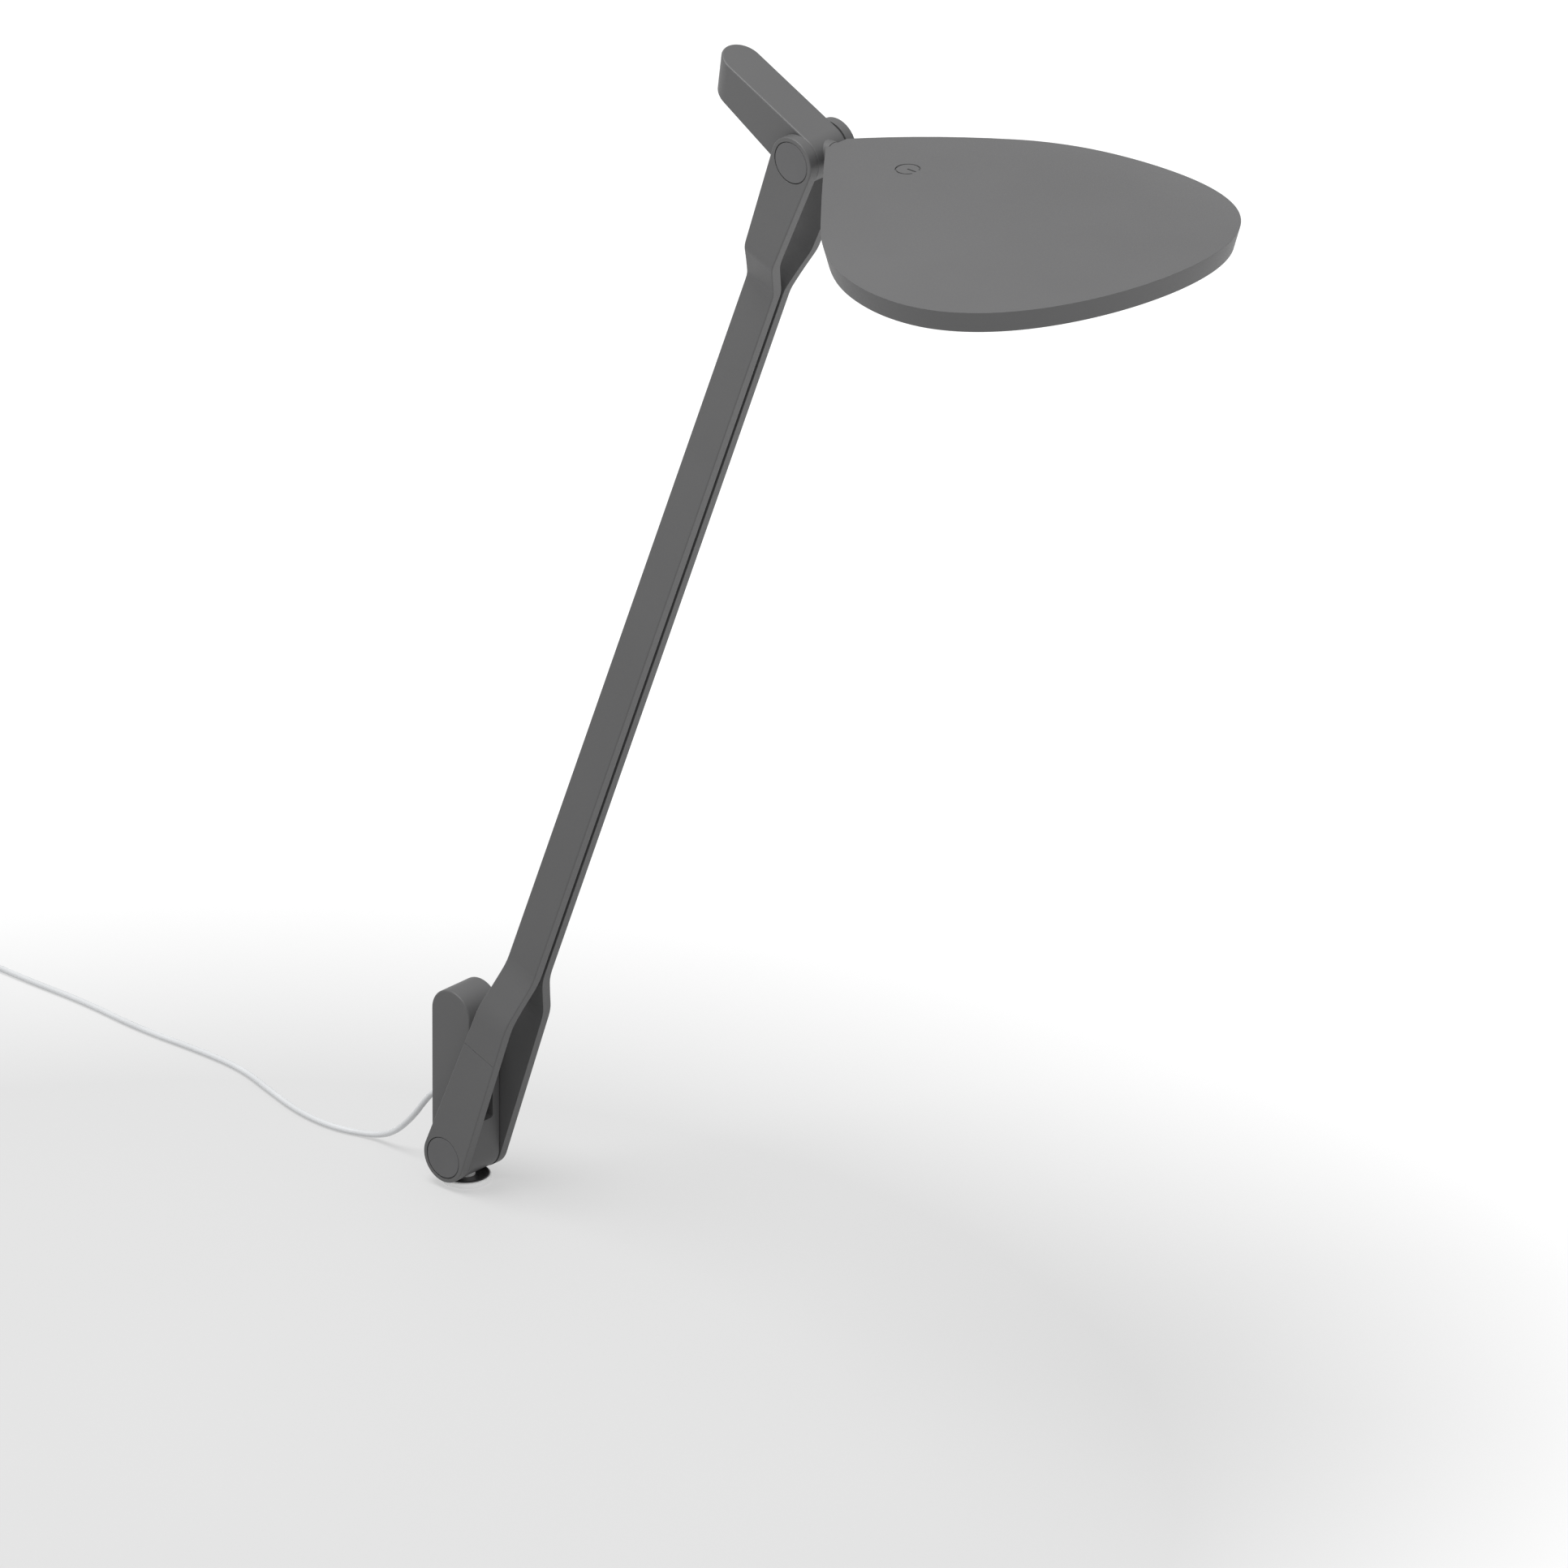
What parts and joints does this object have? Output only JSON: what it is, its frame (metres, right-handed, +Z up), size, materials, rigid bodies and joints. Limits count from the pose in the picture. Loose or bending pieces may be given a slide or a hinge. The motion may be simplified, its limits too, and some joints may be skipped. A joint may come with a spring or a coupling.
{
  "type": "desk lamp",
  "caption": "Slim desk lamp: flat teardrop LED head on a rolling neck, twin-strap arm pivoting at both ends, swivel post on a stud clamped through the table, cord and adapter.",
  "frame": {"origin": "Where the swivel axis meets the table top: the centre of the base pad's underside, named by the mount table_seat.", "axes": "+Z up along the swivel axis, +X the way the arm leans and the head points, Y along both pivot axes. At rest the arm leans 20.92 degrees from upright and the head is level."},
  "size_m": [0.5809, 0.129, 0.4847],
  "materials": {
    "charcoal": "fine satin charcoal powder coat",
    "charcoal_cap": "satin charcoal",
    "dark_plastic": "moulded, fine grain",
    "clear_pad": "translucent soft plastic",
    "steel": "turned, bright",
    "bronze": "sintered bronze",
    "friction": "fibre friction disc",
    "black_rubber": "moulded",
    "board": "solder mask",
    "white_board": "white solder mask",
    "component": "moulded",
    "led": "phosphor lens",
    "frosted": "opal frosted",
    "bare_aluminium": "rolled",
    "cord_clear": "translucent silver grey",
    "cable_black": "matt",
    "adapter": "fine texture",
    "pin_metal": "nickel plated",
    "zinc": "zinc plated"
  },
  "bodies": {
    "table_mount": {"mount_stud": "steel", "base_pad": "clear_pad", "base_flange": "charcoal", "swivel_spring_washer": "zinc", "swivel_nut": "zinc"},
    "clamp": {"clamp_pad": "black_rubber", "clamp_plate": "zinc"},
    "nut": {"clamp_nut": "dark_plastic"},
    "post": {"post_housing": "charcoal", "post_rear_cover": "charcoal", "rear_cover_screw": "zinc", "swivel_bush": "bronze", "lower_pivot_bushes": "bronze", "driver_board": "board", "driver_parts": "component", "input_leads": "cable_black", "strain_relief": "cord_clear", "power_cord": "cord_clear", "cord_coil": "cord_clear", "cord_tie": "cable_black", "adapter_lead": "cord_clear", "power_adapter": "adapter", "adapter_pins": "pin_metal"},
    "arm": {"left_strap": "charcoal", "right_strap": "charcoal", "strap_dowels": "steel", "arm_cable": "cable_black", "lower_pivot_pins": "steel", "upper_pivot_pins": "steel", "lower_friction_washers": "friction", "upper_friction_washers": "friction", "lower_cap_left": "charcoal_cap", "lower_cap_right": "charcoal_cap", "upper_cap_left": "charcoal_cap", "upper_cap_right": "charcoal_cap"},
    "link": {"link_housing": "charcoal", "link_cover": "charcoal", "link_cover_screw": "zinc", "link_connector": "dark_plastic", "upper_pivot_bushes": "bronze", "neck_bush": "bronze"},
    "head": {"head_top_shell": "charcoal", "head_bezel": "dark_plastic", "diffuser": "frosted", "heat_spreader": "bare_aluminium", "led_board": "white_board", "leds": "led", "board_screws": "zinc", "touch_sensor": "component", "neck_shaft": "steel", "neck_clip": "zinc", "neck_spring_washer": "zinc", "head_lead": "cable_black"}
  },
  "joints": [
    {"name": "base_swivel", "type": "hinge", "parent": "table_mount", "child": "post", "pos_m": [0, 0, 0.0108], "axis": [0, 0, 1], "range_deg": [-175, 175]},
    {"name": "arm_pivot", "type": "hinge", "parent": "post", "child": "arm", "pos_m": [0, 0, 0.0108], "axis": [0, 1, 0], "range_deg": [-66, 54]},
    {"name": "head_pivot", "type": "hinge", "parent": "arm", "child": "link", "pos_m": [0.14947, 0, 0.40181], "axis": [0, -1, 0], "range_deg": [-45, 70]},
    {"name": "head_roll", "type": "hinge", "parent": "link", "child": "head", "pos_m": [0.14947, 0, 0.40416], "axis": [1, 0, 0], "range_deg": [-90, 90]},
    {"name": "clamp_slide", "type": "slide", "parent": "table_mount", "child": "clamp", "axis": [0, 0, 1], "range_m": [-0.015, 0.015]},
    {"name": "nut_turn", "type": "hinge", "parent": "clamp", "child": "nut", "pos_m": [0, 0, -0.0345], "axis": [0, 0, 1], "range_deg": [-5430, 5430]}
  ],
  "couplings": [
    {"joint": "nut_turn", "follows": "clamp_slide", "rad_per_m": 6283.2}
  ]
}
